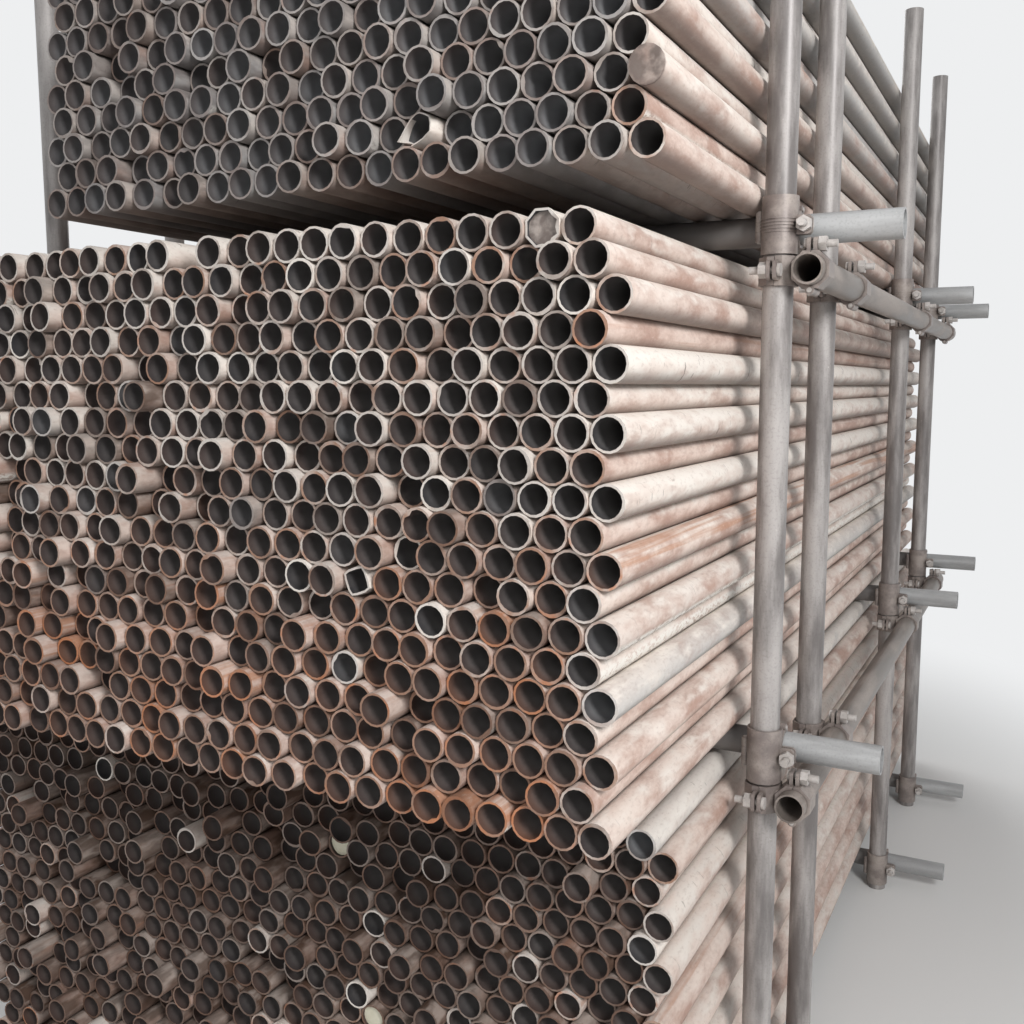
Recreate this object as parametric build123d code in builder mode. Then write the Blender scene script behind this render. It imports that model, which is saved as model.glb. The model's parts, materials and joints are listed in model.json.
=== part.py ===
from build123d import *
import math
import os
import random

os.makedirs("parts", exist_ok=True)

# Driving dimensions in millimetres. X runs across the open tube ends, Y runs along the tubes
# away from the front, and Z is up from the floor.

# The tube that the stock and the rack are both made of
tube_od = 48.3
tube_wall = 3.2
stock_length = 3000.0

# How the tubes lie: side_gap between neighbours in a row, seat_gap between a tube and the two
# below that carry it, tier_gap between a tier's highest tubes and the transom over them
side_gap = 0.6
seat_gap = 0.3
tier_gap = 7.0

# Rows and places for tubes in each tier, counted from the floor up and from the right. The middle
# tier's highest row has no tube in the places that highest_row_gaps names.
lower_rows = 18
lower_places = 31
middle_rows = 19
middle_places = 31
highest_row_gaps = [0, 14]
top_rows = 13
top_places = 22

# Where the front ends stand: the lower tier is pushed back, and each higher row stands a little
# further back than the row under it. The ends are evener at the right, where the stack is reached
# from, than at the left.
lower_setback = 220.0
top_setback = 80.0
face_lean = 2.0
end_scatter = 8.0
loose_end_reach = 24.0
loose_end_share = 0.3
right_evenness = 0.6
lower_looseness = 1.5

# The rack
upright_length = 2500.0
transom_overhang = 180.0
base_transom_height = 60.0
edge_clear = 27.4
top_edge_clear = 6.0
upright_depths = [545.0, 905.0, 2000.0, 2700.0]
transom_frames = [0, 2, 3]
ledger_near_end = 500.0
ledger_length = 2300.0

# The right-angle couplers: a jaw on each of two tubes that cross. On a transom's coupler the jaw
# round the upright is a long shell, and above the lowest transoms its flap is ribbed.
tube_spacing = tube_od + 5.5
coupler_gap = 1.0
grip_clearance = 0.3
part_gap = 0.4
saddle_wall = 4.5
flap_wall = 4.2
saddle_length = 46.0
flap_length = 44.0
shell_length = 90.0
rib_count = 5
rib_pitch = 5.0
rib_width = 2.4
rib_height = 1.2
rib_start = 9.0
bolt_inset = 11.5
ear_reach = 21.5
ear_thickness = 6.0
ear_gap = 4.0
ear_height = 30.0
ear_corner = 6.0
bolt_diameter = 12.0
bolt_clearance = 0.4
bolt_head_diameter = 20.0
bolt_head_height = 5.0
bolt_tail = 16.0
nut_across_flats = 22.0
nut_height = 12.0
pin_diameter = 8.0
pin_head = 2.0
knuckle_wall = 3.0
knuckle_count = 3
block_start = 14.0
block_width = 34.0
block_corner = 5.0

tube_radius = tube_od / 2
bore_radius = tube_radius - tube_wall
pitch = tube_od + side_gap
rise = math.sqrt((tube_od + seat_gap) ** 2 - (pitch / 2) ** 2)
seat = tube_od + seat_gap
bay_width = (middle_places - 0.5) * pitch + 2 * (tube_od + edge_clear)

# Heights of the tube centres, from the floor up
lower_base = base_transom_height + seat
middle_transom_height = lower_base + (lower_rows - 1) * rise + tube_od + tier_gap
middle_base = middle_transom_height + seat
top_transom_height = middle_base + (middle_rows - 1) * rise + tube_od + tier_gap
top_base = top_transom_height + seat

upright_x = bay_width / 2
first_tube_x = upright_x - tube_od - edge_clear
top_first_x = upright_x - tube_od - top_edge_clear

scatter = random.Random(27)


def end_offset(row, place, looseness):
    """How far one tube's front end stands behind the tier's face."""
    spread = looseness * (right_evenness + place / middle_places)
    offset = face_lean * row + scatter.uniform(-end_scatter, end_scatter)
    if scatter.random() < loose_end_share:
        offset += spread * scatter.uniform(-loose_end_reach, loose_end_reach)
    return offset


def tier(name, rows, places_in_row, first_x, base_height, setback, looseness=1.0):
    """The places of a tier's tubes by row. Each row is shifted by half a pitch into the valleys
    of the row below, and Y is the depth of a tube's front end behind the middle tier's face."""
    rows_by_name = {}
    for row in range(rows):
        shift = pitch / 2 if row % 2 else 0.0
        places = []
        for place in places_in_row(row):
            x = first_x - shift - place * pitch
            depth = setback + end_offset(row, place, looseness)
            places.append((x, depth, base_height + row * rise))
        rows_by_name[f"{name}_row_{row + 1:02d}"] = places
    return rows_by_name


def middle_row_places(row):
    """The places that hold a tube in a row of the middle tier."""
    gaps = highest_row_gaps if row == middle_rows - 1 else []
    return [place for place in range(middle_places) if place not in gaps]


lower_tier = tier(
    "lower",
    lower_rows,
    lambda row: range(lower_places),
    first_tube_x,
    lower_base,
    lower_setback,
    lower_looseness,
)
middle_tier = tier("middle", middle_rows, middle_row_places, first_tube_x, middle_base, 0.0)
top_tier = tier(
    "top", top_rows, lambda row: range(top_places - row % 2), top_first_x, top_base, top_setback
)
stack = {**lower_tier, **middle_tier, **top_tier}

# The middle tier's face stands at front_y, so that the origin is under the middle of the whole rack
end_depths = [depth for places in stack.values() for x, depth, z in places]
front_y = -(min(end_depths) + max(end_depths) + stock_length) / 2

with BuildPart() as stock_tube:
    with BuildSketch(Plane.XZ) as tube_section:
        Circle(tube_radius)
        Circle(bore_radius, mode=Mode.SUBTRACT)
    extrude(amount=-stock_length)

# Loose stock tubes, a row at a time, which lie side by side and don't touch
for name, places in stack.items():
    with BuildPart() as tube_row:
        with Locations(*[(x, front_y + depth, z) for x, depth, z in places]):
            add(stock_tube.part)
    tube_row.part.label = name
    export_step(tube_row.part, f"parts/{name}.step")


def rack_tubes(name, length, plane, places):
    """Plain tubes of one length, laid along the normal of the given plane."""
    with BuildPart() as single:
        with BuildSketch(plane):
            Circle(tube_radius)
            Circle(bore_radius, mode=Mode.SUBTRACT)
        extrude(amount=length)
    with BuildPart() as tubes:
        with Locations(*places):
            add(single.part)
    tubes.part.label = name
    export_step(tubes.part, f"parts/{name}.step")
    return tubes.part


upright_ys = [front_y + depth for depth in upright_depths]
transom_heights = [base_transom_height, middle_transom_height, top_transom_height]
transom_length = bay_width + 2 * transom_overhang
ledger_x = upright_x + tube_spacing

upright_places = [(side * upright_x, y, 0) for side in (-1, 1) for y in upright_ys]
transom_places = [
    (-transom_length / 2, upright_ys[frame] + tube_spacing, height)
    for frame in transom_frames
    for height in transom_heights
]
ledger_drop = (shell_length + saddle_length) / 2 + pin_head + coupler_gap
ledger_heights = [middle_transom_height - ledger_drop, top_transom_height - ledger_drop]
ledger_places = [
    (side * ledger_x, front_y + ledger_near_end, height)
    for side in (-1, 1)
    for height in ledger_heights
]
uprights = rack_tubes("uprights", upright_length, Plane.XY, upright_places)
transoms = rack_tubes("transoms", transom_length, Plane.YZ, transom_places)
ledgers = rack_tubes("ledgers", ledger_length, Plane.ZX, ledger_places)

# A coupler is drawn with its upright along Z at the origin and its carried tube along X,
# tube_spacing away along Y. A jaw is drawn round a tube along Z, with its saddle towards +Y, its
# flap towards -Y, its bolt at +X and its hinge pin at -X.
grip_radius = tube_radius + grip_clearance
saddle_radius = grip_radius + saddle_wall
flap_radius = grip_radius + flap_wall
ear_end = saddle_radius + ear_reach
bolt_x = saddle_radius + bolt_inset
bolt_radius = bolt_diameter / 2
pin_radius = pin_diameter / 2
knuckle_radius = pin_radius + knuckle_wall
pin_x = -(grip_radius + knuckle_radius)
knuckle_third = saddle_length / knuckle_count / 2
ear_top = ear_gap / 2 + ear_thickness
bolt_above = Plane(origin=(0, tube_spacing, 0), x_dir=(0, 0, 1), z_dir=(1, 0, 0))
bolt_below = Plane(origin=(0, tube_spacing, 0), x_dir=(0, 0, -1), z_dir=(-1, 0, 0))


def jaw_half(name, outer, length, side, ribs=0, faceted=True):
    """The saddle (side 1) or the flap (side -1) of a jaw, with its ear and its knuckles."""
    own_end = saddle_length / 2
    with BuildPart() as half:
        with BuildSketch(Plane.XY):
            if faceted:
                RegularPolygon(outer, 8, major_radius=False, rotation=22.5)
            else:
                Circle(outer)
            with Locations((0, -side * (2 * outer - part_gap))):
                Rectangle(4 * outer, 4 * outer, mode=Mode.SUBTRACT)
        extrude(amount=length / 2, both=True)
        # Ribs round the front of a long shell
        for rib in range(ribs):
            height = (rib - (ribs - 1) / 2) * rib_pitch - rib_width / 2
            with BuildSketch(Plane.XY.offset(height)):
                Circle(outer + rib_height)
                with Locations((0, -side * (2 * outer - rib_start))):
                    Rectangle(4 * outer, 4 * outer, mode=Mode.SUBTRACT)
            extrude(amount=rib_width)
        with BuildSketch(Plane.XY):
            with Locations(((grip_radius + ear_end) / 2, side * (ear_gap + ear_thickness) / 2)):
                Rectangle(ear_end - grip_radius, ear_thickness)
        extrude(amount=ear_height / 2, both=True)
        # The ear's free corners are rounded
        ear_corners = half.edges().filter_by(Axis.Y).group_by(Axis.X)[-1]
        fillet(ear_corners, ear_corner)
        # Room for the other half's knuckles, then this half's own
        if side == 1:
            with BuildSketch(Plane.XY):
                with Locations((pin_x, 0)):
                    Circle(knuckle_radius + part_gap)
            extrude(amount=knuckle_third + part_gap / 2, both=True, mode=Mode.SUBTRACT)
            for end in (1, -1):
                with BuildSketch(Plane.XY.offset(end * (knuckle_third + part_gap / 2))):
                    with Locations((pin_x, 0)):
                        Circle(knuckle_radius)
                extrude(amount=end * (own_end - knuckle_third - part_gap / 2))
        else:
            for end in (1, -1):
                with BuildSketch(Plane.XY.offset(end * (knuckle_third - part_gap / 2))):
                    with Locations((pin_x, 0)):
                        Circle(knuckle_radius + part_gap)
                extrude(amount=end * own_end, mode=Mode.SUBTRACT)
            with BuildSketch(Plane.XY):
                with Locations((pin_x, 0)):
                    Circle(knuckle_radius)
            extrude(amount=knuckle_third - part_gap / 2, both=True)
        # The tube's channel, the pin's hole and the bolt's hole
        with BuildSketch(Plane.XY):
            Circle(grip_radius)
        extrude(amount=length, both=True, mode=Mode.SUBTRACT)
        with BuildSketch(Plane.XY):
            with Locations((pin_x, 0)):
                Circle(pin_radius + bolt_clearance)
        extrude(amount=saddle_length / 2 + pin_head + part_gap, both=True, mode=Mode.SUBTRACT)
        with BuildSketch(Plane.XZ):
            with Locations((bolt_x, 0)):
                Circle(bolt_radius + bolt_clearance)
        extrude(amount=ear_end, both=True, mode=Mode.SUBTRACT)
    half.part.label = name
    return half.part


saddle = jaw_half("saddle", saddle_radius, saddle_length, 1)
flap = jaw_half("flap", flap_radius, flap_length, -1)
shell_saddle = jaw_half("shell_saddle", saddle_radius, shell_length, 1, faceted=False)
smooth_shell_flap = jaw_half("smooth_shell_flap", flap_radius, shell_length, -1, faceted=False)
ribbed_shell_flap = jaw_half(
    "ribbed_shell_flap", flap_radius, shell_length, -1, ribs=rib_count, faceted=False
)


def coupler_body(upright_saddle, carried):
    """Two saddles back to back and the forged block between them, with both tubes' channels."""
    with BuildPart() as body:
        add(upright_saddle)
        with Locations(carried):
            add(saddle)
        with BuildSketch(Plane.XZ.offset(-block_start)):
            RectangleRounded(block_width, block_width, block_corner)
        extrude(amount=-(tube_spacing - 2 * block_start))
        with BuildSketch(Plane.XY, carried):
            Circle(grip_radius)
        extrude(amount=shell_length, both=True, mode=Mode.SUBTRACT)
    return body.part


transom_body = coupler_body(shell_saddle, bolt_below)
ledger_body = coupler_body(saddle, bolt_above)

with BuildPart() as hinge_pin:
    with BuildSketch(Plane.XY):
        with Locations((pin_x, 0)):
            Circle(pin_radius)
    extrude(amount=saddle_length / 2 + pin_head, both=True)

with BuildPart() as jaw_bolt:
    with BuildSketch(Plane.XZ.offset(-(ear_top + part_gap))):
        with Locations((bolt_x, 0)):
            Circle(bolt_head_diameter / 2)
    extrude(amount=-bolt_head_height)
    with BuildSketch(Plane.XZ.offset(-(ear_top + part_gap))):
        with Locations((bolt_x, 0)):
            Circle(bolt_radius)
    extrude(amount=2 * (ear_top + part_gap) + nut_height + bolt_tail)

with BuildPart() as jaw_nut:
    with BuildSketch(Plane.XZ.offset(ear_top + part_gap)):
        with Locations((bolt_x, 0)):
            RegularPolygon(nut_across_flats / 2, 6, major_radius=False, rotation=30)
            Circle(bolt_radius + bolt_clearance, mode=Mode.SUBTRACT)
    extrude(amount=nut_height)

# Where the couplers sit. The transoms' couplers are bolted on the outer side of the uprights. The
# ledgers' upright jaws bolt towards the front.
smooth_joints = []
ribbed_joints = []
ledger_joints = []
for side in (-1, 1):
    for frame in transom_frames:
        for height in transom_heights:
            place = (side * upright_x, upright_ys[frame], height)
            joint = Plane(origin=place, x_dir=(side, 0, 0), z_dir=(0, 0, side))
            if height == middle_transom_height or height == base_transom_height:
                smooth_joints.append(joint)
            else:
                ribbed_joints.append(joint)
    for y in upright_ys:
        for height in ledger_heights:
            place = (side * upright_x, y, height)
            ledger_joints.append(Plane(origin=place, x_dir=(0, -1, 0), z_dir=(0, 0, side)))

transom_joints = smooth_joints + ribbed_joints
upright_jaws = [joint.location for joint in transom_joints + ledger_joints]
carried_jaws = [joint.location * bolt_below.location for joint in transom_joints]
carried_jaws += [joint.location * bolt_above.location for joint in ledger_joints]
short_flap_jaws = carried_jaws + [joint.location for joint in ledger_joints]


def coupler_pieces(name, *pieces_and_places):
    """The like pieces of all couplers in one node."""
    with BuildPart() as pieces:
        for piece, places in pieces_and_places:
            with Locations(*places):
                add(piece)
    pieces.part.label = name
    export_step(pieces.part, f"parts/{name}.step")


coupler_pieces(
    "coupler_bodies",
    (transom_body, [joint.location for joint in transom_joints]),
    (ledger_body, [joint.location for joint in ledger_joints]),
)
coupler_pieces(
    "coupler_flaps",
    (flap, short_flap_jaws),
    (smooth_shell_flap, [joint.location for joint in smooth_joints]),
    (ribbed_shell_flap, [joint.location for joint in ribbed_joints]),
)
coupler_pieces("coupler_pins", (hinge_pin.part, upright_jaws + carried_jaws))
coupler_pieces("coupler_bolts", (jaw_bolt.part, upright_jaws + carried_jaws))
coupler_pieces("coupler_nuts", (jaw_nut.part, upright_jaws + carried_jaws))
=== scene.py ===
# %% [markdown]
# # A rack of stacked scaffold tubes
# The object is a yard rack of steel scaffold tube. Three tiers of loose tubes lie on a frame of
# upright and level tubes, held together by forged right-angle couplers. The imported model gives
# every piece at its true place and size. This script lays finished tubes over the plain ones,
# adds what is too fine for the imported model, and gives each surface its real finish.

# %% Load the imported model
import json
import math
import random

import bmesh
import bpy
import numpy as np
from mathutils import Matrix, Vector


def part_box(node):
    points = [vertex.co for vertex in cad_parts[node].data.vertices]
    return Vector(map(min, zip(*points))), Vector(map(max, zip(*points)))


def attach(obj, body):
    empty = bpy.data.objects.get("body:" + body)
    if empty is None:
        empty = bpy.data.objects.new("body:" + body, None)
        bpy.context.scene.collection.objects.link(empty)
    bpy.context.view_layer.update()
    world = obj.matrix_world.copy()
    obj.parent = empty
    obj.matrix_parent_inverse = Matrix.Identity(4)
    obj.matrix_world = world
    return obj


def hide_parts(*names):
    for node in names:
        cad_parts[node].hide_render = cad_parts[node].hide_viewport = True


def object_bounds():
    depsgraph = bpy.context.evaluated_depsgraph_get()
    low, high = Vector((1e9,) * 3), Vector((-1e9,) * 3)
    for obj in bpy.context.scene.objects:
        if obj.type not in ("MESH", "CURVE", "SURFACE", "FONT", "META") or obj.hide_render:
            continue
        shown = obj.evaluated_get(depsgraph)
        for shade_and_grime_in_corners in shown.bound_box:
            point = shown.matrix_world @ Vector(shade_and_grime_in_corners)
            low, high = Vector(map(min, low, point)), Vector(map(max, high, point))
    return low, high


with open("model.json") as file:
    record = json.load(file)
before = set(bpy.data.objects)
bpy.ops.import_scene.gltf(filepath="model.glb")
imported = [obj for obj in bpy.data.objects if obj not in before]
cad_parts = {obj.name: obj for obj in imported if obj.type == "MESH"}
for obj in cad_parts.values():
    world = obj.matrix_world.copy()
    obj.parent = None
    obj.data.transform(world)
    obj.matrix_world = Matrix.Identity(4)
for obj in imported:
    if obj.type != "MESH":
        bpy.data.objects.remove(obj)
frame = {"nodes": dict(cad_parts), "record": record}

cad_low, cad_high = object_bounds()
nodes = frame["nodes"]
print(len(nodes), "nodes, box", [round(v, 3) for v in (*cad_low, *cad_high)])

# %% [markdown]
# ## Sizes and small helpers
# The rack is built from one tube, 48.3 mm across with a 3.2 mm wall. Sizes of the tubes are written
# in millimetres, and `mm` turns them into Blender's metres. Colours are written as the hex
# codes that a paint chart would give, and `paint` turns them into the linear values that shaders
# work with.

# %% Sizes and helpers
tube_od = 48.3
tube_wall = 3.2
side_gap = 0.6


def mm(value):
    """Millimetres in metres."""
    return value / 1000


def paint(code):
    """A linear colour from an sRGB hex code."""
    levels = [int(code[i:i + 2], 16) / 255 for i in (1, 3, 5)]
    linear = [v / 12.92 if v <= 0.04045 else ((v + 0.055) / 1.055) ** 2.4 for v in levels]
    return (*linear, 1.0)


def deselect():
    """Nothing selected, so that the next operator acts on its own piece alone."""
    bpy.ops.object.select_all(action="DESELECT")


scene = bpy.context.scene
scene.view_settings.view_transform = "Standard"
print("tube", tube_od, "mm across with a wall of", tube_wall, "mm, laid", side_gap, "mm apart")

# %% [markdown]
# ## The camera
# The picture was taken from in front of the rack's right corner, about 1.5 m above the floor,
# looking slightly down and to the left. The camera is placed from the near right upright, so it
# stays right if the rack is packed again. A 36 mm wide sensor is Blender's usual one.

# %% The camera
camera_step = Vector((mm(405.0), mm(-1698.9), mm(1488.6)))
look_down = 6.87
look_left = 27.4
rack_low, rack_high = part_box("uprights")
near_upright = Vector((rack_high.x - mm(tube_od) / 2, rack_low.y + mm(tube_od) / 2, 0))
bpy.ops.object.camera_add(
    location=near_upright + camera_step,
    rotation=(math.radians(90 - look_down), 0, math.radians(look_left)),
)
camera = bpy.context.object
camera.name = "camera"
camera.data.lens = 36.86
camera.data.sensor_width = 36
camera.data.clip_start = 0.05
scene.camera = camera
print("camera at", [round(v, 3) for v in camera.location])

# %% [markdown]
# ## Materials: one helper for nodes, and three steps of a finish
# A shader is a chain of nodes. Adding each node by hand takes three or four lines, so one function
# adds a node, sets its options and fills its inputs. An input is given as a plain value, as one
# output of an earlier node, or as the earlier node itself, which stands for its first output.
#
# The other functions are steps that every finish here takes, as a painter would: a mottled pattern
# whose patches have a size in millimetres, an amount that such a pattern makes uneven, and a coat
# of one colour over another.

# %% Settings of a soft edge
soft_edge = {"interpolation_type": "SMOOTHSTEP"}


# %% Helpers for materials
def add(tree, kind, inputs=None, **settings):
    """Adds a node, sets its options, and fills its inputs with values or earlier nodes."""
    made = tree.nodes.new(kind)
    for key, value in settings.items():
        setattr(made, key, value)
    for key, value in (inputs or {}).items():
        if isinstance(value, bpy.types.Node):
            value = value.outputs[0]
        if isinstance(value, bpy.types.NodeSocket):
            tree.links.new(value, made.inputs[key])
        else:
            made.inputs[key].default_value = value
    return made


def mottle(tree, where, size_mm, stretch=(1, 1, 1), detail=3.0, roughness=0.55):
    """Patches about size_mm across, drawn out along the axes that stretch names."""
    drawn = add(tree, "ShaderNodeMapping", {0: where, 3: [1 / s for s in stretch]})
    inputs = {0: drawn, "Scale": 0.5 / mm(size_mm), "Detail": detail, "Roughness": roughness}
    return add(tree, "ShaderNodeTexNoise", inputs)


def uneven(tree, amount, pattern, weight):
    """An amount that a pattern raises in some places and lowers in others."""
    swing = add(tree, "ShaderNodeMath", {0: pattern, 1: 0.5}, operation="SUBTRACT")
    swing = add(tree, "ShaderNodeMath", {0: swing, 1: weight}, operation="MULTIPLY")
    return add(tree, "ShaderNodeMath", {0: amount, 1: swing}, operation="ADD")


def coat(tree, below, colour, amount, fade=None, share=None):
    """Lays a colour over the one below, as strongly as the amount says.

    With fade, which is (low, high, start, end), the strength runs from low to high as the amount
    goes from start to end, and holds still outside that. Share then thins the whole coat.
    """
    if fade:
        low, high, start, end = fade
        inputs = {0: amount, 1: start, 2: end, 3: low, 4: high}
        amount = add(tree, "ShaderNodeMapRange", inputs, **soft_edge)
    if share is not None:
        amount = add(tree, "ShaderNodeMath", {0: amount, 1: share}, operation="MULTIPLY")
    mixed = add(tree, "ShaderNodeMix", {0: amount, 6: below, 7: colour}, data_type="RGBA")
    return mixed.outputs[2]


def new_material(name):
    """An empty material and its node tree."""
    material = bpy.data.materials.new(name)
    material.use_nodes = True
    material.node_tree.nodes.clear()
    return material, material.node_tree


def close_material(tree, inputs):
    """Ends a material with its Principled shader, which takes these inputs."""
    shader = add(tree, "ShaderNodeBsdfPrincipled", inputs)
    add(tree, "ShaderNodeOutputMaterial", {0: shader})
    print(len(tree.nodes), "nodes into", ", ".join(inputs))


# %% [markdown]
# ## The stock tubes' finish
# The stock is plain steel tube whose mill skin has rusted to a pinkish brown, under dust from
# cement. Rust and dust hide the metal, so it looks matt and patchy and nothing shines. No two
# tubes of a used stack look alike: some are coated with pale dust, some show bare brown rust, and
# a few have fresh orange rust or what is left of a zinc coat.
#
# Painting each tube by hand would take forever, so its points carry four attributes, and one
# material reads them. In `wear`, red is how dusty the tube is, green is how much orange rust it
# has, blue is a number of its own that shifts the pattern, and alpha is how dirty it is. `zinc` is
# how much of its zinc is left, `depth` is how far behind the mouth a point lies, and `crust` is how
# high a crust of lime reaches up its lower half.
#
# The patches are drawn out along the tube, because rain and handling leave long streaks. Real grit
# is well under a millimetre, and is drawn 2 to 3 mm wide here, or it wouldn't show.


# %% Reading a tube's wear
def wear_of(tree):
    """A tube's own dust, rust, dirt and zinc, and a spot in the pattern that no other tube has."""
    wear = add(tree, "ShaderNodeAttribute", attribute_name="wear")
    dust, rust, shift = add(tree, "ShaderNodeSeparateColor", {0: wear.outputs["Color"]}).outputs
    zinc = add(tree, "ShaderNodeAttribute", attribute_name="zinc").outputs["Fac"]
    place = add(tree, "ShaderNodeTexCoord").outputs["Object"]
    aside = add(tree, "ShaderNodeMath", {0: shift, 1: 31.0}, operation="MULTIPLY")
    along = add(tree, "ShaderNodeMath", {0: shift, 1: 17.0}, operation="MULTIPLY")
    jump = add(tree, "ShaderNodeCombineXYZ", {0: aside, 1: along})
    where = add(tree, "ShaderNodeVectorMath", {0: place, 1: jump}, operation="ADD")
    return dust, rust, wear.outputs["Alpha"], zinc, where


# %% Rusty tube side: its patterns
side_material, tree = new_material("dusty_rusted_tube_wall")
dust, rust, dirt, zinc, where = wear_of(tree)
crust = add(tree, "ShaderNodeAttribute", attribute_name="crust").outputs["Fac"]
facing = add(tree, "ShaderNodeNewGeometry").outputs["Normal"]
upward = add(tree, "ShaderNodeSeparateXYZ", {0: facing}).outputs[2]
blotches = mottle(tree, where, 30, (1, 2.6, 1), 5, 0.65)
clumps = mottle(tree, where, 10, (1, 3, 1), 3, 0.5)
streaks = mottle(tree, where, 6, (1, 40, 1), 3)
grain = mottle(tree, where, 3, (1, 2, 1), 4, 0.65)
flakes = mottle(tree, where, 9, (1, 2.2, 1), 5, 0.7)
scuffs = mottle(tree, where, 9, (2.0, 0.4, 2.0), 2, 0.5)
print("tube side:", len(tree.nodes), "nodes so far, for six patterns")

# %% Rusty tube side: rust, zinc and dust
wall = coat(tree, paint("#b49486"), paint("#dfc9bd"), blotches, (0, 1, 0.35, 0.63))
wall = coat(tree, wall, paint("#bcbcba"), uneven(tree, zinc, blotches, 0.8), (0, 1, 0.3, 0.7))
# Dust settles on what faces up, as a haze and in clumps. The paler upper side is partly that dust and
# partly a painted highlight of the light from above
lying = add(tree, "ShaderNodeMath", {0: dust, 1: 0.8}, operation="MULTIPLY")
upward_dust_and_highlight = add(tree, "ShaderNodeMath", {0: upward, 1: 0.28}, operation="MULTIPLY")
dust_and_top_highlight = add(tree, "ShaderNodeMath", {0: lying, 1: upward_dust_and_highlight}, operation="ADD")
wall = coat(tree, wall, paint("#e2d6cc"), uneven(tree, dust_and_top_highlight, blotches, 1.5), (0, 0.9, 0.1, 0.95))
wall = coat(tree, wall, paint("#ece4db"), uneven(tree, dust_and_top_highlight, clumps, 1.8), (0, 0.9, 0.45, 1.0))
# Orange rust and pale runs, both in streaks
wall = coat(tree, wall, paint("#b47b58"), uneven(tree, rust, streaks, 1.8), (0, 0.85, 0.45, 0.95))
wall = coat(tree, wall, paint("#ebe2d9"), streaks, (0, 0.5, 0.6, 0.8))
# Dark and pale grit, and spots where the skin has flaked off
wall = coat(tree, wall, paint("#8f7364"), grain, (0.22, 0, 0.3, 0.5))
wall = coat(tree, wall, paint("#efe7de"), grain, (0, 0.25, 0.55, 0.75))
wall = coat(tree, wall, paint("#927a6b"), flakes, (0, 0.4, 0.68, 0.73))
# Dark scuffs across the dustiest tubes
dustiest = add(tree, "ShaderNodeMath", {0: dust, 1: dust}, operation="MULTIPLY")
wall = coat(tree, wall, paint("#5f5048"), scuffs, (0, 0.75, 0.69, 0.72), dustiest)
# Painted shade: the underside is darker, where shade falls under the tube
wall = coat(tree, wall, paint("#5d5652"), upward, (0.7, 0, -0.95, -0.1))
print("tube side:", len(tree.nodes), "nodes so far, with rust and dust")

# %% Rusty tube side: lime crust, dirt and shader
# The crust lies on the lower half, from a little above the bottom line up to where crust says
reach = add(tree, "ShaderNodeMath", {0: crust, 1: 1.1}, operation="MULTIPLY")
above = add(tree, "ShaderNodeMath", {0: upward, 1: reach}, operation="SUBTRACT")
off_bottom = add(tree, "ShaderNodeMapRange", {0: upward, 1: -0.9, 2: -0.75, 3: 0, 4: 1}, **soft_edge)
below_top = add(tree, "ShaderNodeMapRange", {0: above, 1: -1.1, 2: -0.8, 3: 1, 4: 0}, **soft_edge)
crusted = add(tree, "ShaderNodeMapRange", {0: crust, 1: 0.1, 2: 0.4, 3: 0, 4: 1}, **soft_edge)
band = add(tree, "ShaderNodeMath", {0: off_bottom, 1: below_top}, operation="MULTIPLY")
band = add(tree, "ShaderNodeMath", {0: band, 1: crusted}, operation="MULTIPLY")
wall = coat(tree, wall, paint("#ebe6de"), grain, (0.25, 1, 0.42, 0.5), band)
soil = coat(tree, paint("#543f33"), paint("#646264"), zinc)
wall = coat(tree, wall, soil, clumps, (0.7, 1.15, 0.35, 0.6), dirt)
rubbed = add(tree, "ShaderNodeMapRange", {0: blotches, 1: 0.3, 2: 0.7, 3: 0.55, 4: 0.8}, **soft_edge)
fine = add(tree, "ShaderNodeMath", {0: grain, 1: 0.6}, operation="MULTIPLY")
relief = add(tree, "ShaderNodeMath", {0: flakes, 1: fine}, operation="ADD")
relief = add(tree, "ShaderNodeBump", {"Strength": 0.45, "Distance": mm(0.8), "Height": relief})
close_material(tree, {"Base Color": wall, "Roughness": rubbed, "Normal": relief})

# %% [markdown]
# ## The sawn ends
# A saw leaves a ring of bare steel, which dust and rust soon dull. To the eye the rings are pale,
# tan or dirty brown, and they stand out because the bores inside them are dark. The ring could be
# painted as part of the side, but a material of its own keeps it plain, without the side's streaks.
# It reads the same attributes, so that a tube's ring and side belong together. A tube whose dust is
# over 1 has a nearly white ring.

# %% Sawn tube end
end_material, tree = new_material("sawn_tube_end")
dust, rust, dirt, zinc, where = wear_of(tree)
patches = mottle(tree, where, 16, (1, 1, 1), 2)
shade = mottle(tree, where, 24, (1, 1, 1), 1)
grit = mottle(tree, where, 1.6, (1, 1, 1), 2)
sawn = coat(tree, paint("#a27d68"), paint("#cfc7bf"), uneven(tree, dust, patches, 1.6), (0, 1, 0.1, 0.8))
sawn = coat(tree, sawn, paint("#ddd5cc"), dust, (0, 1, 1.0, 1.15))
sawn = coat(tree, sawn, paint("#b9774f"), uneven(tree, rust, patches, 2.4), (0, 0.9, 0.4, 0.95))
sawn = coat(tree, sawn, paint("#c9c6c3"), zinc, share=0.8)
sawn = coat(tree, sawn, paint("#7d6a5f"), shade, (0.55, 0, 0.32, 0.48))
sawn = coat(tree, sawn, paint("#8a7263"), grit, (0, 0.45, 0.6, 0.8))
soil = coat(tree, paint("#573f32"), paint("#626062"), zinc)
sawn = coat(tree, sawn, soil, dirt)
rubbed = add(tree, "ShaderNodeMapRange", {0: grit, 1: 0.3, 2: 0.7, 3: 0.5, 4: 0.8}, **soft_edge)
relief = add(tree, "ShaderNodeBump", {"Strength": 0.4, "Distance": mm(0.3), "Height": grit})
close_material(tree, {"Base Color": sawn, "Roughness": rubbed, "Normal": relief})

# %% [markdown]
# ## Inside the tubes
# The bore is dark, matt scale. Light that enters a 3 m tube is lost after a few bounces in a
# renderer, and the bore would turn black where it should be a dim grey. So the wall is dark near
# the mouth, where the lamps reach it, and gets paler over the first 55 mm.

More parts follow.
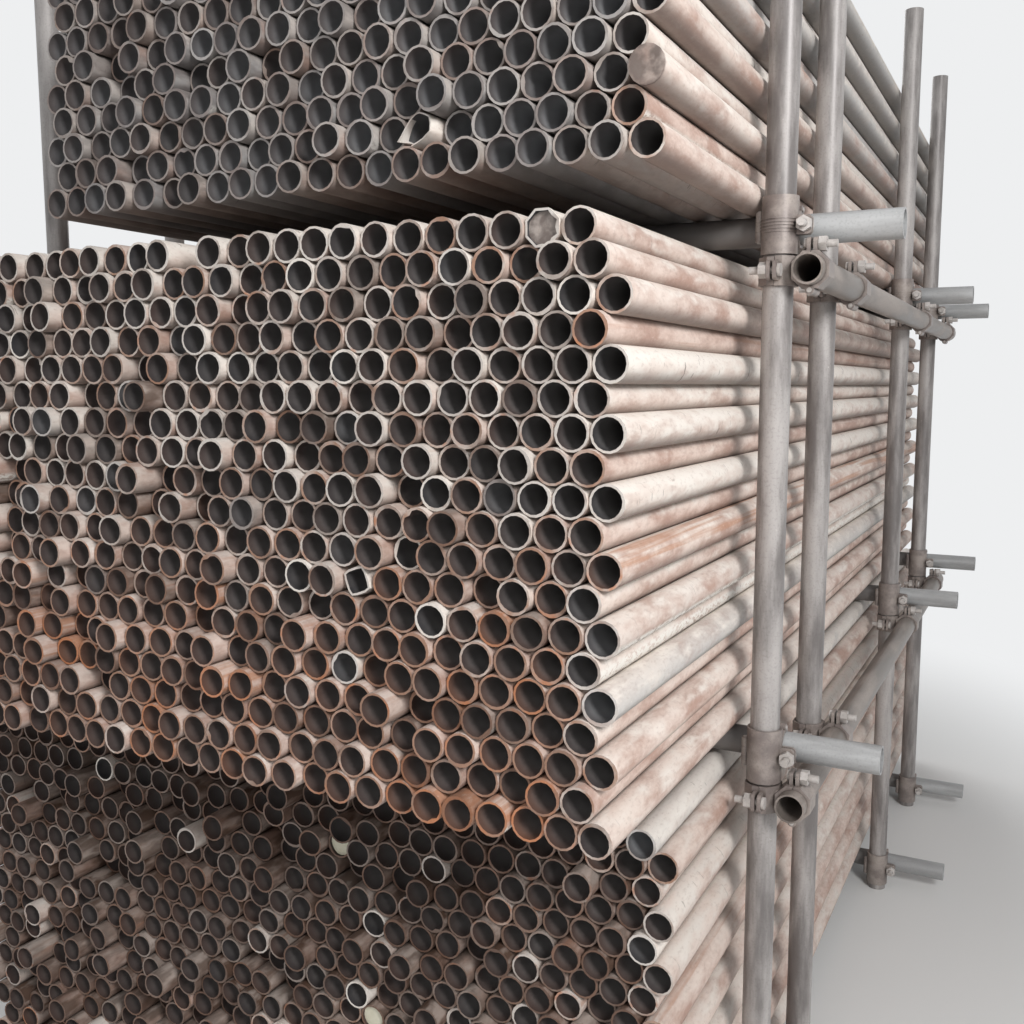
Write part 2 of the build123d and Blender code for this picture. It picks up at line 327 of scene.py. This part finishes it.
# %% Inside of a tube
paler_by = mm(55)
bore_material, tree = new_material("tube_bore")
_, rust, dirt, zinc, where = wear_of(tree)
scale_marks = mottle(tree, where, 12, (1, 3, 1), 3)
depth = add(tree, "ShaderNodeAttribute", attribute_name="depth").outputs["Fac"]
bore = coat(tree, paint("#2e2c2e"), paint("#3f3b3b"), scale_marks, (0, 1, 0.35, 0.7))
bore = coat(tree, bore, paint("#7c5038"), rust, share=0.6)
bore = coat(tree, bore, paint("#646364"), zinc, share=0.7)
bore = coat(tree, bore, paint("#3b322f"), dirt, share=0.4)
inside = coat(tree, paint("#8c8886"), paint("#c2c4c7"), zinc)
bore = coat(tree, bore, inside, depth, (0, 1, 0.0, paler_by))
rubbed = add(tree, "ShaderNodeMapRange", {0: scale_marks, 1: 0.3, 2: 0.7, 3: 0.7, 4: 0.95}, **soft_edge)
close_material(tree, {"Base Color": bore, "Roughness": rubbed})

# %% [markdown]
# ## Cement in a mouth
# Two mouths are stopped with hardened cement, which is pale, matt and lumpy. Two close colours
# and a bump do for it, because a plug is only a few pixels of the picture.

# %% Pale plug in a tube's mouth
plug_material, tree = new_material("hardened_cement_plug")
where = wear_of(tree)[-1]
lumps = mottle(tree, where, 6, (1, 1, 1), 4)
plug = coat(tree, paint("#c9c2a6"), paint("#e3dfcf"), lumps)
relief = add(tree, "ShaderNodeBump", {"Strength": 0.6, "Distance": mm(2), "Height": lumps})
close_material(tree, {"Base Color": plug, "Roughness": 0.9, "Normal": relief})
tube_materials = (side_material, end_material, bore_material, plug_material)
side_slot, end_slot, bore_slot, plug_slot = range(4)
print("materials", [m.name for m in tube_materials])

# %% [markdown]
# ## The model tubes
# A tube could be two cylinders and a boolean, but Blender has a shorter way: one open cylinder,
# and a Solidify modifier that gives it its wall. Solidify can put the inner wall and the sawn
# rim into material slots of their own. Sixteen sides with smooth shading are enough for a tube
# that is forty pixels across, and over a thousand copies stay light.
#
# A few tubes have been knocked about. Each of those is made from the same open cylinder before it
# gets its wall: rings are cut near its mouth with bisect, and then moved, scaled or filled.

# %% Open cylinder
tube_sides = 16
model_length = 3.0


def open_cylinder(name, cuts=()):
    """One open cylinder along Y from 0 to model_length, with extra rings at the given depths."""
    deselect()
    bpy.ops.mesh.primitive_cylinder_add(
        vertices=tube_sides, radius=mm(tube_od) / 2, depth=model_length, end_fill_type="NOTHING",
        location=(0, model_length / 2, 0), rotation=(math.radians(-90), 0, 0),
    )
    tube = bpy.context.object
    tube.name = name
    bpy.ops.object.transform_apply()
    for material in tube_materials:
        tube.data.materials.append(material)
    bpy.ops.object.mode_set(mode="EDIT")
    for depth in cuts:
        bpy.ops.mesh.select_all(action="SELECT")
        bpy.ops.mesh.bisect(plane_co=(0, mm(depth), 0), plane_no=(0, 1, 0))
    bpy.ops.object.mode_set(mode="OBJECT")
    return tube


def pick_ring(tube, depth):
    """Goes into edit mode with only the ring at that depth selected."""
    bpy.ops.object.mode_set(mode="OBJECT")
    bpy.context.view_layer.objects.active = tube
    bpy.ops.object.mode_set(mode="EDIT")
    bpy.ops.mesh.select_mode(type="VERT")
    bpy.ops.mesh.select_all(action="DESELECT")
    shape = bmesh.from_edit_mesh(tube.data)
    for vert in shape.verts:
        vert.select = abs(vert.co.y - mm(depth)) < mm(0.2)
    shape.select_flush(True)
    bmesh.update_edit_mesh(tube.data)


# %% Wall, and the plain tube
def give_wall(tube, wall=tube_wall):
    """Turns an open cylinder into a tube with a wall, a sawn rim and a bore."""
    if bpy.context.mode != "OBJECT":
        bpy.ops.object.mode_set(mode="OBJECT")
    deselect()
    tube.select_set(True)
    bpy.context.view_layer.objects.active = tube
    solidify = tube.modifiers.new("wall", "SOLIDIFY")
    solidify.thickness = mm(wall)
    solidify.offset = -1
    solidify.material_offset = bore_slot
    solidify.material_offset_rim = end_slot
    bpy.ops.object.modifier_apply(modifier="wall")
    bpy.ops.object.shade_smooth_by_angle(angle=math.radians(35))
    return tube


models = {"plain": give_wall(open_cylinder("model_plain"))}
print("plain tube:", len(models["plain"].data.polygons), "faces")

# %% Disc in a mouth
# The disc reaches 0.4 mm into the wall, so that no light shows round it
disc_depth = 5
disc_overlap = 0.4


def fill_mouth(tube, slot):
    """Closes a finished tube with a disc a little inside its mouth."""
    deselect()
    bpy.ops.mesh.primitive_circle_add(
        vertices=tube_sides, radius=mm(tube_od / 2 - tube_wall + disc_overlap), fill_type="TRIFAN",
        location=(0, mm(disc_depth), 0), rotation=(math.radians(90), 0, 0),
    )
    disc = bpy.context.object
    bpy.ops.object.transform_apply()
    for material in tube_materials:
        disc.data.materials.append(material)
    for face in disc.data.polygons:
        face.material_index = slot
    tube.select_set(True)
    bpy.context.view_layer.objects.active = tube
    bpy.ops.object.join()
    return tube


# %% [markdown]
# ## Six mouths that differ
# In the picture, one mouth is beaten square, one is hammered to eight flats and choked with dirt,
# one is closed, two are stopped with cement, and one is torn open. They could be sculpted, but each
# follows a simple rule, so the rule moves the rings. The square is a superellipse, a circle whose
# power is raised until it has corners. The octagon pushes each point out to the nearest flat.

# %% A mouth beaten square
corner_turn = math.radians(20)
flat_radius = 0.78
corner_power = 5
# The mouth is fully square, and the rings 14 and 60 mm in are less and less so
squashed = open_cylinder("model_squashed", (14, 60, 120))
for depth, share in ((0, 1.0), (14, 0.6), (60, 0.2)):
    pick_ring(squashed, depth)
    shape = bmesh.from_edit_mesh(squashed.data)
    for vert in (v for v in shape.verts if v.select):
        angle = math.atan2(vert.co.z, vert.co.x) - corner_turn
        power_sum = abs(math.cos(angle)) ** corner_power + abs(math.sin(angle)) ** corner_power
        squareness = flat_radius / power_sum ** (1 / corner_power)
        vert.co.x *= 1 + share * (squareness - 1)
        vert.co.z *= 1 + share * (squareness - 1)
    bmesh.update_edit_mesh(squashed.data)
models["squashed"] = give_wall(squashed)
print("beaten square:", len(squashed.data.polygons), "faces")

# %% A mouth hammered into an octagon
half_flat = math.pi / 8
flat_distance = 0.98
octagon = open_cylinder("model_octagon", (16, 70))
pick_ring(octagon, 0)
shape = bmesh.from_edit_mesh(octagon.data)
for vert in (v for v in shape.verts if v.select):
    angle = (math.atan2(vert.co.z, vert.co.x) + half_flat) % (2 * half_flat) - half_flat
    vert.co.x *= flat_distance / math.cos(angle)
    vert.co.z *= flat_distance / math.cos(angle)
bmesh.update_edit_mesh(octagon.data)
models["octagon"] = fill_mouth(give_wall(octagon), side_slot)
print("octagon:", len(octagon.data.polygons), "faces")

# %% A closed end
# The cap stands out 0.6 mm and has a dent 2.5 mm deep, a little off its middle
closed = open_cylinder("model_closed", (6,))
pick_ring(closed, 0)
bpy.ops.mesh.edge_face_add()
bpy.ops.mesh.inset(thickness=mm(4))
bpy.ops.transform.translate(value=(0, mm(-0.6), 0))
bpy.ops.mesh.inset(thickness=mm(9))
bpy.ops.transform.translate(value=(mm(2), mm(2.5), mm(-3)))
models["closed"] = give_wall(closed)
print("closed end:", len(closed.data.polygons), "faces")

# %% A mouth plugged with cement
models["plugged"] = fill_mouth(give_wall(open_cylinder("model_plugged")), plug_slot)
print("plugged:", len(models["plugged"].data.polygons), "faces")

# %% A torn lip
# The mouth's sixteen points from the right round to the left, as x, y and z in mm: the wall is
# split low on the left, one lip is bent out to the left and the other is pushed in
torn_mouth = [
    (14, 0, -2), (15, 0, 8), (13, 0, 17), (6, 0, 21), (-3, 0, 24), (-9, 0, 23), (-17, -1, 17),
    (-23, -3, 8), (-28, -6, -3), (-34, -9, -14), (-19, 14, -16), (-15, -3, -21), (-6, -2, -17),
    (2, 0, -12), (8, 0, -7), (12, 0, -4),
]
thin_wall = 2.2
torn = open_cylinder("model_torn", (12, 40))
for depth, share in ((0, 1.0), (12, 0.45)):
    pick_ring(torn, depth)
    shape = bmesh.from_edit_mesh(torn.data)
    for vert in (v for v in shape.verts if v.select):
        step = round(math.atan2(vert.co.z, vert.co.x) / math.tau * tube_sides) % tube_sides
        goal = Vector([mm(v) for v in torn_mouth[step]]) + Vector((0, mm(depth), 0))
        vert.co = vert.co.lerp(goal, share)
    bmesh.update_edit_mesh(torn.data)
models["torn"] = give_wall(torn, thin_wall)
# The bent-out lip shows its inner face, which is as worn as a sawn end
for face in torn.data.polygons:
    if face.material_index == bore_slot and face.center.x < mm(-12) and face.center.y < mm(14):
        face.material_index = end_slot
print({name: len(model.data.polygons) for name, model in models.items()})

# %% [markdown]
# ## Where each tube lies
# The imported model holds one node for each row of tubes, all in one mesh. The row's tubes stand one
# pitch apart, so sorting the mesh's points by pitch tells them apart and gives each tube's
# centre and ends.

# %% Where each tube lies
pitch = tube_od + side_gap


def tubes_of(node):
    """Centre x and z, front y and back y of every tube in a row's node, from right to left."""
    mesh = nodes[node].data
    points = np.empty(len(mesh.vertices) * 3)
    mesh.vertices.foreach_get("co", points)
    points = points.reshape(-1, 3)
    slot = np.floor((points[:, 0] - points[:, 0].min() + mm(side_gap) / 2) / mm(pitch)).astype(int)
    found = []
    for k in sorted(set(slot), reverse=True):
        own = points[slot == k]
        low, high = own.min(axis=0), own.max(axis=0)
        found.append(((low[0] + high[0]) / 2, (low[2] + high[2]) / 2, low[1], high[1]))
    return found


row_names = sorted(name for name in nodes if "_row_" in name)
rows = {name: tubes_of(name) for name in row_names}
print(len(rows), "rows,", sum(len(r) for r in rows.values()), "tubes")

# %% [markdown]
# ## How worn each tube is
# Chance alone would look like confetti. In the stack, wear has a pattern: the upper half of the
# middle tier has pale grey sawn ends, the lower half is tan and rusty where rain has run down, and
# the lower tier is dark with dirt. The outermost tubes of the middle tier, whose whole sides show,
# are described one by one from the top row down. Some other tubes are named by tier, row and place,
# with rows counted from the bottom up and places from the right, where the outermost is 0. For the
# rest, seeded chance picks values within limits, which are given for each tier and height.

# %% Wear that is listed one by one
chance = random.Random(11)
middle_rows = 19
# Dust, rust, dirt and zinc of the outermost tube in each row of the middle tier, top row first
outer_wear = [
    (0.60, 0.10, 0.00, 0.0), (0.45, 0.15, 0.00, 0.0), (0.50, 0.10, 0.00, 0.0), (0.12, 0.42, 0.05, 0.0),
    (1.00, 0.00, 0.00, 0.0), (0.65, 0.05, 0.00, 0.1), (0.85, 0.00, 0.00, 0.0), (0.35, 0.20, 0.00, 0.0),
    (0.95, 0.00, 0.00, 0.0), (0.35, 0.15, 0.00, 0.0), (0.50, 0.55, 0.00, 0.0), (0.55, 0.05, 0.00, 0.2),
    (0.50, 0.05, 0.00, 0.4), (0.65, 0.05, 0.00, 0.1), (0.45, 0.10, 0.00, 0.6), (0.35, 0.10, 0.00, 0.0),
    (0.40, 0.10, 0.00, 0.0), (0.35, 0.15, 0.00, 0.0), (0.45, 0.10, 0.05, 0.0),
]
special_mouths = {
    ("middle", 19, 1): "octagon", ("middle", 8, 7): "squashed", ("top", 2, 6): "torn",
    ("top", 3, 0): "closed", ("lower", 15, 12): "plugged", ("lower", 8, 10): "plugged",
}
special_wear = {
    ("middle", 19, 1): (1.0, 0.0, 0.0, 0.3), ("top", 2, 6): (1.0, 0.0, 0.0, 0.2),
    ("middle", 8, 7): (1.0, 0.0, 0.0, 0.0), ("middle", 19, 13): (0.9, 0.0, 0.0, 0.0),
    ("middle", 18, 4): (1.0, 0.0, 0.0, 0.2), ("middle", 15, 12): (1.0, 0.0, 0.0, 0.0),
    ("middle", 15, 13): (1.0, 0.0, 0.0, 0.0), ("middle", 5, 8): (1.0, 0.0, 0.0, 0.3),
    ("middle", 4, 19): (0.2, 1.0, 0.0, 0.0), ("middle", 1, 2): (0.3, 1.0, 0.0, 0.0),
    ("top", 3, 0): (0.7, 0.1, 0.0, 0.25), ("lower", 18, 0): (0.8, 0.0, 0.1, 0.9),
    ("lower", 14, 0): (0.9, 0.0, 0.0, 0.2), ("top", 1, 0): (0.5, 0.1, 0.0, 0.0),
}
lime_crusts = {("middle", 7, 0): 0.5, ("middle", 6, 0): 1.0, ("top", 2, 0): 0.5}
print(len(outer_wear) + len(special_wear), "tubes have their wear set by hand")


# %% Wear that follows the tier
def wear_for(tier, row, place):
    """Dust, rust, dirt and zinc of one tube, by where it lies in the stack."""
    if (tier, row, place) in special_wear:
        return special_wear[tier, row, place]
    if tier == "middle" and place == 0:
        return outer_wear[middle_rows - row]
    dust = chance.uniform(0.25, 1.0)
    rust = chance.uniform(0.0, 0.3)
    dirt = chance.uniform(0.5, 0.8) if chance.random() < 0.15 else chance.uniform(0.0, 0.25)
    low = zinc = 0.0
    if tier == "middle":
        # Low goes from 0 in the twelfth row to 1 in the fifth and below
        low = min(1.0, max(0.0, (12 - row) / 7))
        dust *= 1 - 0.7 * low
        rust += 0.45 * low * chance.uniform(0.3, 1.0)
        if chance.random() < 0.10 * low:
            rust += 0.35
    if tier == "lower":
        dust *= 0.75
        rust += chance.uniform(0, 0.3)
        dirt = 0.15 if place == 0 or chance.random() < 0.06 else chance.uniform(0.65, 0.94)
    if tier == "top":
        zinc = chance.uniform(0.2, 0.8) if place else min(0.7, max(0.0, 0.12 * (row - 3)))
        dirt = chance.uniform(0.3, 0.6) + 0.01 * place if place else 0.05
    elif tier == "middle" and chance.random() < 0.03:
        # A stray galvanised tube
        dust, rust, zinc = max(dust, 0.8 - 0.4 * low), 0.25 * low, 0.5 - 0.5 * low
    elif chance.random() < (0.06 * (1 - low) if tier == "middle" else 0.015):
        # A tube with a nearly white ring
        dust, rust, dirt = 1.2, 0.0, 0.0
    return dust, min(rust, 1.0), min(dirt, 0.94), zinc


# %% [markdown]
# ## Laying the rows
# A finished copy of a model tube goes in each place. Placing objects by the thousand would be slow
# and heavy, so each row is one mesh that the copies are written into. Real saw cuts are a degree or
# two out of square, many mouths carry a burr, and each tube is turned its own way, so every copy
# gets its own. A tube whose bore is a stated place to fasten to keeps a clean round mouth.

# %% Burrs
burr_share = 0.7
nick_share = 0.12
nick_width = 0.42


def burr(place):
    """One ragged stretch: how far, in mm, the inner edge is pushed in at an angle round the mouth."""
    centre = chance.uniform(0, math.tau)
    width = chance.uniform(0.5, 2.0)
    depth = chance.uniform(0.5, 2.6)
    if place and chance.random() < nick_share:
        width = nick_width
        depth = chance.uniform(3.0, 5.5)
    return lambda a: depth * max(0.0, 1 - abs((a - centre + math.pi) % math.tau - math.pi) / width)


# %% Lay a row
# Points up to rim_reach behind the mouth belong to the sawn rim, and those inside rim_middle to its
# inner edge. Points up to front_part move with the front end, and the others with the back end. The
# mouth is set back a little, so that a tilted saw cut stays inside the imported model's box.
saw_tilt = 0.035
out_of_round = 0.035
rim_reach = mm(1)
rim_middle = mm(tube_od / 2 - 2)
burr_radius = 20
front_part = mm(150)
set_back = mm(1)
choked_dirt = 0.8
clean_bores = [m["pos_m"] for m in frame["record"]["mounts"] if m["name"].startswith("bore_")]


def lay_row(name, tubes):
    """One piece for a row: a copy of the right model tube in each place."""
    tier, row = name.split("_row_")[0], int(name[-2:])
    shape = bmesh.new()
    wear_layer = shape.verts.layers.float_color.new("wear")
    zinc_layer = shape.verts.layers.float.new("zinc")
    depth_layer = shape.verts.layers.float.new("depth")
    crust_layer = shape.verts.layers.float.new("crust")
    for place, (x, z, front, back) in enumerate(tubes):
        kind = special_mouths.get((tier, row, place), "plain")
        first = len(shape.verts)
        shape.from_mesh(models[kind].data)
        shape.verts.ensure_lookup_table()
        turn = Matrix.Rotation(chance.uniform(0, math.tau) if kind == "plain" else 0.0, 3, "Y")
        clean = any(math.hypot(x - at[0], z - at[2]) < mm(5) for at in clean_bores)
        oval = turn @ Matrix.Diagonal((1 - chance.uniform(0, out_of_round), 1, 1)) @ turn.transposed()
        tilt = Vector((chance.uniform(-saw_tilt, saw_tilt), 0, chance.uniform(-saw_tilt, saw_tilt)))
        push = burr(place) if chance.random() < burr_share else None
        if clean:
            oval, push = Matrix.Identity(3), None
        dust, rust, dirt, zinc = wear_for(tier, row, place)
        wear = (dust, rust, chance.random(), dirt)
        chance_crust = 0.6 if place and chance.random() < 0.03 else 0.0
        crust = lime_crusts.get((tier, row, place), chance_crust)
        for vert in shape.verts[first:]:
            spot = oval @ turn @ vert.co
            depth = spot.y
            on_rim = depth < rim_reach
            if on_rim and push and math.hypot(spot.x, spot.z) < rim_middle:
                inward = push(math.atan2(spot.z, spot.x))
                spot.x *= 1 - inward / burr_radius
                spot.z *= 1 - inward / burr_radius
            if depth < front_part:
                spot.y = max(front + depth + set_back + (tilt.dot(spot) if on_rim else 0), cad_low.y)
            else:
                spot.y = back - (model_length - depth)
            vert.co = spot + Vector((x, 0, z))
            on_disc = kind == "octagon" and abs(depth - mm(disc_depth)) < mm(0.5)
            on_cap = kind == "closed" and depth < mm(4)
            vert[wear_layer] = (*wear[:3], choked_dirt) if on_disc or on_cap else wear
            vert[zinc_layer] = zinc
            vert[depth_layer] = depth
            vert[crust_layer] = crust
    mesh = bpy.data.meshes.new("laid_" + name)
    shape.to_mesh(mesh)
    shape.free()
    for material in tube_materials:
        mesh.materials.append(material)
    piece = bpy.data.objects.new("laid_" + name, mesh)
    scene.collection.objects.link(piece)
    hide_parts(name)
    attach(piece, "root")
    return piece


# %% Lay all rows
laid = [lay_row(name, tubes) for name, tubes in rows.items()]
print("laid", len(laid), "rows,", sum(len(p.data.polygons) for p in laid), "faces")
for model in models.values():
    bpy.data.objects.remove(model)

# %% [markdown]
# ## The frame tubes and couplers
# The uprights, level tubes and couplers of the rack are the imported model's own. They keep their
# shape and get finishes of their own. The rack's tubes are galvanised steel, but years of dust and
# cement have dulled the zinc to a warm grey with little shine. The couplers are forged and
# galvanised, and browner than the uprights. Their bolts are zinc plated and paler. A photograph of
# zinc could be wrapped round them, but plain patterns stay sharp close up.
#
# The weathering runs along each tube, so the same finish is made three times, with the pattern
# drawn out along the axis that the tubes lie on. Corners are darker, partly with dirt and partly
# with painted shade. The cross tubes are clean zinc only where they stick out past the uprights.
# Under the load they are darkened with painted shade.


# %% Weathered zinc
def weathered_zinc(name, stretch, low, high, grime_and_shade_colour, painted_shade_until=0.0):
    """A dull zinc coat with dust, splashes, dark grit and painted shade in corners, and, if the last
    argument is given, painted shade from the middle out to that distance.
    """
    material, tree = new_material(name)
    place = add(tree, "ShaderNodeTexCoord").outputs["Object"]
    clouds = mottle(tree, place, 22, stretch, 5, 0.6)
    grit = mottle(tree, place, 1.8, (1, 1, 1), 3)
    splashes = mottle(tree, place, 5, (1, 1, 1), 4, 0.6)
    zinc = coat(tree, paint(low), paint(high), clouds, (0, 1, 0.35, 0.68))
    zinc = coat(tree, zinc, paint(grime_and_shade_colour), grit, (0.2, 0, 0.3, 0.5))
    zinc = coat(tree, zinc, paint("#ddd5ce"), splashes, (0, 0.7, 0.71, 0.77))
    # Painted shade, laid in the dark dirt colour: corners and crevices darken as far as they are closed
    # in
    shade_and_grime_in_corners = add(tree, "ShaderNodeAmbientOcclusion", {"Distance": mm(9)}, samples=6).outputs["AO"]
    zinc = coat(tree, zinc, paint(grime_and_shade_colour), shade_and_grime_in_corners, (0.7, 0, 0.25, 0.8))
    # Painted shade under the load: the middle of a cross tube, out to a little inside the uprights, is
    # darkened to a dark grey brown
    if painted_shade_until:
        along = add(tree, "ShaderNodeSeparateXYZ", {0: place})
        off_middle = add(tree, "ShaderNodeMath", {0: along}, operation="ABSOLUTE")
        zinc = coat(tree, zinc, paint("#65605d"), off_middle, (0.9, 0, painted_shade_until - mm(40), painted_shade_until))
    rubbed = add(tree, "ShaderNodeMapRange", {0: clouds, 1: 0.3, 2: 0.7, 3: 0.36, 4: 0.56}, **soft_edge)
    relief = add(tree, "ShaderNodeBump", {"Strength": 0.3, "Distance": mm(0.3), "Height": grit})
    sockets = {"Base Color": zinc, "Roughness": rubbed, "Normal": relief, "Metallic": 0.15}
    close_material(tree, sockets)
    return material


# %% Finish the frame
finishes = {
    "uprights": weathered_zinc("dusty_upright_zinc", (1, 1, 6), "#6f6a68", "#ada8a5", "#5a514d"),
    "ledgers": weathered_zinc("dusty_ledger_zinc", (1, 6, 1), "#6d655f", "#9c928b", "#50453f"),
    "transoms": weathered_zinc(
        "clean_transom_zinc", (6, 1, 1), "#989898", "#b8b9b9", "#6f6f6e", near_upright.x - mm(10)
    ),
}
forged = weathered_zinc("forged_coupler", (1, 1, 1), "#7b716d", "#a0968f", "#4e443e")
bolts = weathered_zinc("zinc_plated_bolt", (1, 1, 1), "#aaa49f", "#cbc6c2", "#655b55")
finishes.update({"coupler_bodies": forged, "coupler_flaps": forged})
finishes.update({"coupler_pins": bolts, "coupler_bolts": bolts, "coupler_nuts": bolts})
for name, material in finishes.items():
    nodes[name].data.materials.clear()
    nodes[name].data.materials.append(material)
print({name: material.name for name, material in finishes.items()})

# %% [markdown]
# ## Floor and backdrop
# A pale floor runs up into a pale wall behind the rack, as on a roll of studio paper: one plane
# whose far edge is pulled up, with the fold rounded by a bevel. Far from the rack, the paper shows
# its own pale colour to the camera instead of how it is lit, so it fades to an even white. Sizes
# here are in metres.

# %% Floor and backdrop: the sheet
paper_size = 40
paper_end = 14
paper_height = 16
fold_radius = 5
deselect()
bpy.ops.mesh.primitive_plane_add(size=paper_size, location=(0, paper_end - paper_size / 2, 0))
floor = bpy.context.object
floor.name = "floor"
bpy.ops.object.transform_apply()
bpy.ops.object.mode_set(mode="EDIT")
bpy.ops.mesh.select_mode(type="EDGE")
bpy.ops.mesh.select_all(action="DESELECT")
shape = bmesh.from_edit_mesh(floor.data)
for edge in shape.edges:
    edge.select = all(vert.co.y > paper_end - 0.1 for vert in edge.verts)
bmesh.update_edit_mesh(floor.data)
bpy.ops.mesh.extrude_region_move(TRANSFORM_OT_translate={"value": (0, 0, paper_height)})
bpy.ops.mesh.select_all(action="DESELECT")
shape = bmesh.from_edit_mesh(floor.data)
for edge in shape.edges:
    edge.select = all(vert.co.y > paper_end - 0.1 and vert.co.z < 0.1 for vert in edge.verts)
bmesh.update_edit_mesh(floor.data)
bpy.ops.mesh.bevel(offset=fold_radius, segments=12)
bpy.ops.object.mode_set(mode="OBJECT")
bpy.ops.object.shade_smooth()
print("floor and backdrop:", len(floor.data.polygons), "faces")


# %% Floor and backdrop: the paper
def seen_directly(tree):
    """1 for rays from the camera, off a gloss or through glass, and 0 for the light's own rays."""
    rays = add(tree, "ShaderNodeLightPath").outputs
    inputs = {0: rays["Is Camera Ray"], 1: rays["Is Glossy Ray"]}
    seen = add(tree, "ShaderNodeMath", inputs, operation="MAXIMUM")
    inputs = {0: seen, 1: rays["Is Transmission Ray"]}
    return add(tree, "ShaderNodeMath", inputs, operation="MAXIMUM")


fade_start = 1.15
fade_end = 2.3
white_paper = "#eeeff0"
stage_material, tree = new_material("pale_studio_paper")
place = add(tree, "ShaderNodeTexCoord").outputs["Object"]
wash = mottle(tree, place, 900, (1, 1, 1), 2)
washed = coat(tree, paint("#e2e1df"), paint("#e8e7e5"), wash)
lit = add(tree, "ShaderNodeBsdfPrincipled", {"Base Color": washed, "Roughness": 0.9})
glow = add(tree, "ShaderNodeEmission", {0: paint(white_paper), 1: 1.0})
drawn_in = add(tree, "ShaderNodeMapping", {0: place, 3: (1.0, 0.6, 1.0)})
away = add(tree, "ShaderNodeVectorMath", {0: drawn_in}, operation="LENGTH").outputs["Value"]
far = add(tree, "ShaderNodeMapRange", {0: away, 1: fade_start, 2: fade_end, 3: 0, 4: 1}, **soft_edge)
fade = add(tree, "ShaderNodeMath", {0: seen_directly(tree), 1: far}, operation="MULTIPLY")
paper = add(tree, "ShaderNodeMixShader", {0: fade, 1: lit, 2: glow})
add(tree, "ShaderNodeOutputMaterial", {0: paper})
floor.data.materials.append(stage_material)
print("paper fades to white from", fade_start, "to", fade_end, "m off the middle")

# %% [markdown]
# ## Sky and lamps
# In the picture, the uprights are bright on the right and shade the tubes just to their left, so the
# key light stands to the right and in front. A large, weak light in front and a soft sky fill the
# open ends, and a large light behind the rack keeps its back and the far ends from going black. The
# sky lights the rack with a soft grey, but shows itself to the camera as white.

# %% Sky
sky_strength = 0.43
world = bpy.data.worlds.new("overcast")
scene.world = world
world.use_nodes = True
tree = world.node_tree
tree.nodes.clear()
soft_sky = add(tree, "ShaderNodeBackground", {0: paint("#eef1f5"), 1: sky_strength})
seen_sky = add(tree, "ShaderNodeBackground", {0: paint(white_paper), 1: 1.0})
sky = add(tree, "ShaderNodeMixShader", {0: seen_directly(tree), 1: soft_sky, 2: seen_sky})
add(tree, "ShaderNodeOutputWorld", {0: sky})
print("sky of", len(tree.nodes), "nodes, strength", sky_strength)


# %% Lamps
def softbox(name, place, aim, size, watts):
    """A square area lamp at a place, turned towards a point."""
    deselect()
    bpy.ops.object.light_add(type="AREA", location=place)
    lamp = bpy.context.object
    lamp.name = name
    lamp.data.size = size
    lamp.data.energy = watts
    lamp.rotation_euler = (Vector(aim) - lamp.location).to_track_quat("-Z", "Y").to_euler()
    lamp.visible_camera = False
    print(name, "of", watts, "W and", size, "m")


softbox("key_from_the_right", (3.0, -3.1, 2.9), (0.8, -1.2, 1.2), 1.0, 103)
softbox("fill_from_the_front", (1.7, -6.4, 3.0), (-0.2, -1.6, 1.2), 4.0, 50)
softbox("soft_light_from_behind", (-4.5, 5.5, 4.5), (0.0, 0.3, 1.0), 5.0, 260)
